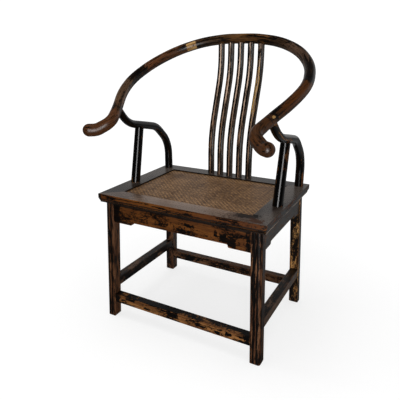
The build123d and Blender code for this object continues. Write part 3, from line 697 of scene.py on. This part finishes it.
front_paint = seat_finish(
    "seat_front_lacquer", (0.05, 1, 1), (0, -1), dust_and_sheen=colour(142, 120, 104), clean=colour(66, 50, 40),
)
rear_paint = seat_finish("seat_rear_lacquer", (0.05, 1, 1), (0, 0.4), dust_and_sheen=colour(78, 70, 64))
side_paint = seat_finish(
    "seat_side_lacquer", (1, 0.05, 1), (0.6, 0), dust_and_sheen=colour(112, 102, 94), clean=colour(40, 33, 29),
    shine=0.25,
)
nodes["seat_member_front"].data.materials[0] = front_paint
nodes["seat_member_rear"].data.materials[0] = rear_paint
nodes["seat_member_left"].data.materials[0] = side_paint
nodes["seat_member_right"].data.materials[0] = side_paint

# ------------------------------------------------------------------ woven mat
# A mat of split cane in a two over, two under twill, laid in the frame on its board. The strips are four
# millimetres wide, brown with age, and each has its own tone. The strips that run one way are painted darker
# as shade, and the gaps between strips and the dips where they pass under are painted dark as shade.

mat_low, mat_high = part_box("seat_mat")
strip = 0.004
points_a_strip = 3
crown = 0.00045
just_inside = 0.01
across_count = round((mat_high.x - mat_low.x) / strip * points_a_strip)
deep_count = round((mat_high.y - mat_low.y) / strip * points_a_strip)
weave = bmesh.new()
bmesh.ops.create_grid(weave, x_segments=across_count, y_segments=deep_count, size=0.5)
bmesh.ops.scale(weave, verts=weave.verts, vec=(mat_high.x - mat_low.x, mat_high.y - mat_low.y, 1))
middle = (mat_low + mat_high) / 2
bmesh.ops.translate(weave, verts=weave.verts, vec=(middle.x, middle.y, mat_high.z))


def strip_height(x, y):
    """How far the strip on top stands below its crown: a float spans two strips and dips at its ends."""
    u, v = x / strip + just_inside, y / strip + just_inside
    phase = (int(u // 1) + int(v // 1)) % 4
    run, width = (u % 1, v % 1) if phase < 2 else (v % 1, u % 1)
    arch = sin(pi * (phase % 2 + run) / 2)
    return crown * (0.45 * (1 - arch) + 0.55 * abs(2 * width - 1) ** 3)


def bearing(vertex):
    """Which way a point lies from the mat's middle."""
    return atan2(vertex.co.y - middle.y, vertex.co.x - middle.x)


for vertex in weave.verts:
    vertex.co.z -= strip_height(vertex.co.x - mat_low.x, vertex.co.y - mat_low.y)

# The sides and underside are built from the rim in order, so that the mesh is the same each run.
rim = sorted((vertex for vertex in weave.verts if vertex.is_boundary), key=bearing)
low_rim = [weave.verts.new((vertex.co.x, vertex.co.y, mat_low.z)) for vertex in rim]
for number, vertex in enumerate(rim):
    weave.faces.new((vertex, rim[number - 1], low_rim[number - 1], low_rim[number]))
weave.faces.new(low_rim[::-1])
bmesh.ops.recalc_face_normals(weave, faces=weave.faces)
mat_mesh = bpy.data.meshes.new("woven_mat")
weave.to_mesh(mat_mesh)
weave.free()
mat_mesh.shade_smooth()
mat = bpy.data.objects.new("woven_mat", mat_mesh)
scene.collection.objects.link(mat)

cane = bpy.data.materials.new("split_cane")
cane.use_nodes = True
tree = cane.node_tree
on_mat = add(tree, "ShaderNodeTexCoord").outputs["Object"]
place = stretched(tree, on_mat, (1 / strip, 1 / strip, 1 / strip), (-mat_low.x, -mat_low.y, 0))
u, v, _ = add(tree, "ShaderNodeSeparateXYZ", {0: place}).outputs
column, row = calc(tree, "FLOOR", u), calc(tree, "FLOOR", v)
part_u, part_v = calc(tree, "FRACT", u), calc(tree, "FRACT", v)
phase = calc(tree, "FLOORED_MODULO", calc(tree, "ADD", column, row), 4.0)
lengthwise = calc(tree, "GREATER_THAN", phase, 1.5)
width = between(tree, lengthwise, part_v, part_u)
number = between(tree, lengthwise, row, calc(tree, "ADD", column, 500.0))
run = between(tree, lengthwise, part_u, part_v)
run = calc(tree, "ADD", run, calc(tree, "FLOORED_MODULO", phase, 2.0))
gap = fade(tree, calc(tree, "ABSOLUTE", calc(tree, "SUBTRACT", width, 0.5)), 0.34, 0.5)
dip = fade(tree, calc(tree, "ABSOLUTE", calc(tree, "SUBTRACT", run, 1.0)), 0.62, 1.0)
own = add(tree, "ShaderNodeTexWhiteNoise", {"W": number}, noise_dimensions="1D").outputs["Value"]
in_strip = {0: calc(tree, "MULTIPLY", width, 7.0), 1: calc(tree, "MULTIPLY", run, 0.4), 2: number}
fibre = cloud(tree, add(tree, "ShaderNodeCombineXYZ", in_strip).outputs[0], 1.0, 3)
age = cloud(tree, on_mat, 9, 4)
scuffs = cloud(tree, on_mat, 85, 4)
shade = calc(tree, "MULTIPLY_ADD", own, 0.5, calc(tree, "MULTIPLY_ADD", age, 0.9, -0.1))
shade = calc(tree, "MULTIPLY_ADD", fibre, 0.5, shade)
shade = calc(tree, "MULTIPLY_ADD", scuffs, 1.2, calc(tree, "SUBTRACT", shade, 0.6))
shown = tint(tree, fade(tree, shade, 0.35, 1.30), colour(84, 59, 38), colour(172, 132, 92))
# Painted shade: the strips of one direction darker, and the gaps and dips darker still.
shown = tint(tree, calc(tree, "MULTIPLY", lengthwise, 0.50), shown, colour(62, 44, 28))
dark = calc(tree, "MAXIMUM", gap, calc(tree, "MULTIPLY", dip, 0.8))
shown = tint(tree, calc(tree, "MULTIPLY", dark, 0.78), shown, colour(28, 19, 12))
surface = tree.nodes["Principled BSDF"]
feed(tree, surface.inputs["Base Color"], shown)
surface.inputs["Roughness"].default_value = 0.5
lie = calc(tree, "MULTIPLY_ADD", dark, -1.0, calc(tree, "MULTIPLY", fibre, 0.3))
bump = add(tree, "ShaderNodeBump", {"Strength": 0.5, "Distance": 0.0004, "Height": lie})
feed(tree, surface.inputs["Normal"], bump.outputs["Normal"])
mat_mesh.materials.append(cane)
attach(mat, "root")
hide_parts("seat_mat")

# ------------------------------------------------------------------ board and battens under the seat
# Planed hardwood, left bare: the thin board that carries the mat, in the frame's rebate, and the two
# battens that stiffen it, tenoned into the front and rear members.

plain_wood = Finish("bare_board", (1, 0.05, 1))
bare_paint = plain_wood.lay(
    wear=1.0, lacquer=colour(50, 36, 26), film=colour(78, 56, 38), wood=colour(112, 84, 56),
    pale=colour(136, 106, 74), gloss=0.4,
)
for name in ("seat_board", "seat_batten_left", "seat_batten_right"):
    nodes[name].data.materials[0] = bare_paint

# ------------------------------------------------------------------ legs
# Splayed legs, square inside and round at the outer corner, reeded on the two outer faces and tenoned
# into the frame. Their black lacquer has worn to brown in long upright streaks, but not in the grooves.

leg_foot = Vector((0.2870, 0.2045))
leg_splay = Vector((0.018, 0.014)) / 0.450
leg_width = 0.035
groove_offset = leg_width / 6


def leg_finish(name, wear, wood, pale, shift, streak, to_the_right=0.0):
    """The lacquer of a leg, with its wear, and what is added to it where the leg faces right."""
    finish = Finish(name, (2.2, 2.2, 0.06), shift=shift)
    tree = finish.tree
    wear = calc(tree, "MULTIPLY_ADD", fade(tree, finish.face_x, 0.5, 0.9), to_the_right, wear)
    from_middle = calc(tree, "SUBTRACT", finish.y, seat_middle)
    grooves = []
    for across, facing, beside, foot, splay in (
        (finish.x, finish.face_y, from_middle, leg_foot.x, leg_splay.x),
        (from_middle, finish.face_x, finish.x, leg_foot.y, leg_splay.y),
    ):
        middle = calc(tree, "MULTIPLY_ADD", finish.z, -splay, foot)
        off_middle = calc(tree, "ABSOLUTE", calc(tree, "SUBTRACT", calc(tree, "ABSOLUTE", across), middle))
        off_groove = calc(tree, "ABSOLUTE", calc(tree, "SUBTRACT", off_middle, groove_offset))
        off_groove = calc(tree, "MULTIPLY_ADD", finish.ragged, 0.004, off_groove)
        outward = calc(tree, "MULTIPLY", facing, calc(tree, "SIGN", beside))
        groove = calc(tree, "MULTIPLY", fade(tree, off_groove, 0.0036, 0.0018), fade(tree, outward, 0.3, 0.6))
        grooves.append(groove)
    wear = calc(tree, "MULTIPLY_ADD", finish.either(grooves), -0.5, wear)
    return finish.lay(
        wear=wear, lacquer=colour(13, 11, 10), film=colour(44, 25, 14), wood=wood, pale=pale,
        streak=streak, gloss=0.30, shine=0.3, relief=0.3,
    )


brown, tan = colour(78, 48, 30), colour(120, 84, 58)
gold, straw = colour(128, 82, 42), colour(206, 156, 96)
for name, wear, wood, pale, shift, streak, to_the_right in (
    ("front_left", 0.55, brown, tan, (0, 4, 0), 0.8, 0.0),
    ("front_right", 0.51, brown, tan, (0, 0, 0), 0.8, 0.0),
    ("rear_left", 0.42, brown, tan, (3, 0, 0), 0.6, 0.0),
    ("rear_right", 0.44, gold, straw, (3, 0, 0), 0.35, -0.16),
):
    leg_paint = leg_finish(f"{name}_leg_lacquer", wear, wood, pale, shift, streak, to_the_right)
    nodes["leg_" + name].data.materials[0] = leg_paint

# ------------------------------------------------------------------ aprons
# Thin boards tongued into the legs under the frame, with a low step at each end. The front one has worn
# to orange brown, with black left at its ends and in blots; the others have kept most of their lacquer.

apron_finish = Finish("apron_front_lacquer", (0.06, 1, 1))
tree = apron_finish.tree
black_blots = apron_finish.blots([
    (-0.250, 0.022, 0.420, 0.050), (0.257, 0.020, 0.410, 0.060), (0.163, 0.011, 0.408, 0.013),
    (0.190, 0.013, 0.397, 0.013), (0.137, 0.006, 0.418, 0.010), (0.046, 0.016, 0.424, 0.006),
])
ragged_height = calc(tree, "MULTIPLY_ADD", apron_finish.ragged, 0.004, apron_finish.z)
painted_shadow_under_frame = fade(tree, ragged_height, 0.4400, 0.4416)


def shadowed_edge(shown):
    """The apron's colour, painted black along its top as a shadow under the frame's lip."""
    return tint(tree, calc(tree, "MULTIPLY", painted_shadow_under_frame, 0.92), shown, black_and_painted_shade)


more_to_the_right = fade(tree, apron_finish.x, -0.27, 0.10, 0.50, 0.61)
nodes["apron_front"].data.materials[0] = apron_finish.lay(
    wear=calc(tree, "MULTIPLY_ADD", black_blots, -0.30, more_to_the_right), lacquer=colour(13, 11, 10),
    film=colour(48, 28, 15), wood=colour(80, 45, 19), pale=colour(112, 68, 30), streak=0.3, gloss=0.32,
    tone=shadowed_edge, shine=0.25, relief=0.3,
)
for name, grain, shift in (
    ("rear", (0.06, 1, 1), (0, 5, 0)),
    ("left", (1, 0.06, 1), (0, 0, 2)),
    ("right", (1, 0.06, 1), (0, 0, 0)),
):
    quiet = Finish(f"apron_{name}_lacquer", grain, shift=shift)
    nodes["apron_" + name].data.materials[0] = quiet.lay(
        wear=0.42, lacquer=colour(20, 16, 14), film=colour(40, 29, 22), wood=colour(72, 54, 42),
        pale=colour(104, 82, 66), streak=0.7, gloss=0.28, shine=0.3, relief=0.15,
    )

# ------------------------------------------------------------------ stretchers
# Square bars tenoned between the legs, in the same lacquer. Feet have rubbed the front one to gold on
# its face, and the tops stay dark.


def stretcher_finish(name, grain, outward, wear, top_wear, shift=(0, 0, 0), wood=brown, pale=tan, blots=()):
    """The lacquer of a stretcher, with its wear where it faces outward, and on its other faces."""
    finish = Finish(name, grain, shift=shift)
    tree = finish.tree
    facing_out = fade(tree, finish.toward(*outward), 0.4, 0.9)
    wear = calc(tree, "MULTIPLY_ADD", facing_out, wear - top_wear, top_wear)
    if blots:
        wear = calc(tree, "MULTIPLY_ADD", finish.blots(blots), -0.30, wear)
    return finish.lay(
        wear=wear, lacquer=colour(14, 12, 11), film=colour(44, 26, 15), wood=wood, pale=pale,
        streak=0.45, gloss=0.30, shine=0.3, relief=0.3,
    )


nodes["stretcher_front"].data.materials[0] = stretcher_finish(
    "stretcher_front_lacquer", (0.06, 1, 1), (0, -1), 0.57, 0.40, wood=colour(102, 65, 36),
    pale=colour(160, 110, 64), blots=[
        (0.262, 0.018, 0.075, 0.030), (-0.262, 0.018, 0.080, 0.030), (-0.200, 0.020, 0.090, 0.006),
        (0.090, 0.022, 0.078, 0.007), (0.153, 0.010, 0.072, 0.006), (0.192, 0.010, 0.079, 0.006),
        (-0.124, 0.014, 0.074, 0.006), (-0.020, 0.020, 0.084, 0.010),
    ],
)
nodes["stretcher_rear"].data.materials[0] = stretcher_finish(
    "stretcher_rear_lacquer", (0.06, 1, 1), (0, -1), 0.50, 0.56, (7, 0, 0),
)
for name, wear, shift in (("left", 0.40, (0, 3, 0)), ("right", 0.62, (0, 0, 0))):
    nodes["stretcher_" + name].data.materials[0] = stretcher_finish(
        f"stretcher_{name}_lacquer", (1, 0.06, 1), (1, 0), wear, 0.45, shift, colour(86, 66, 52),
        colour(112, 88, 70),
    )
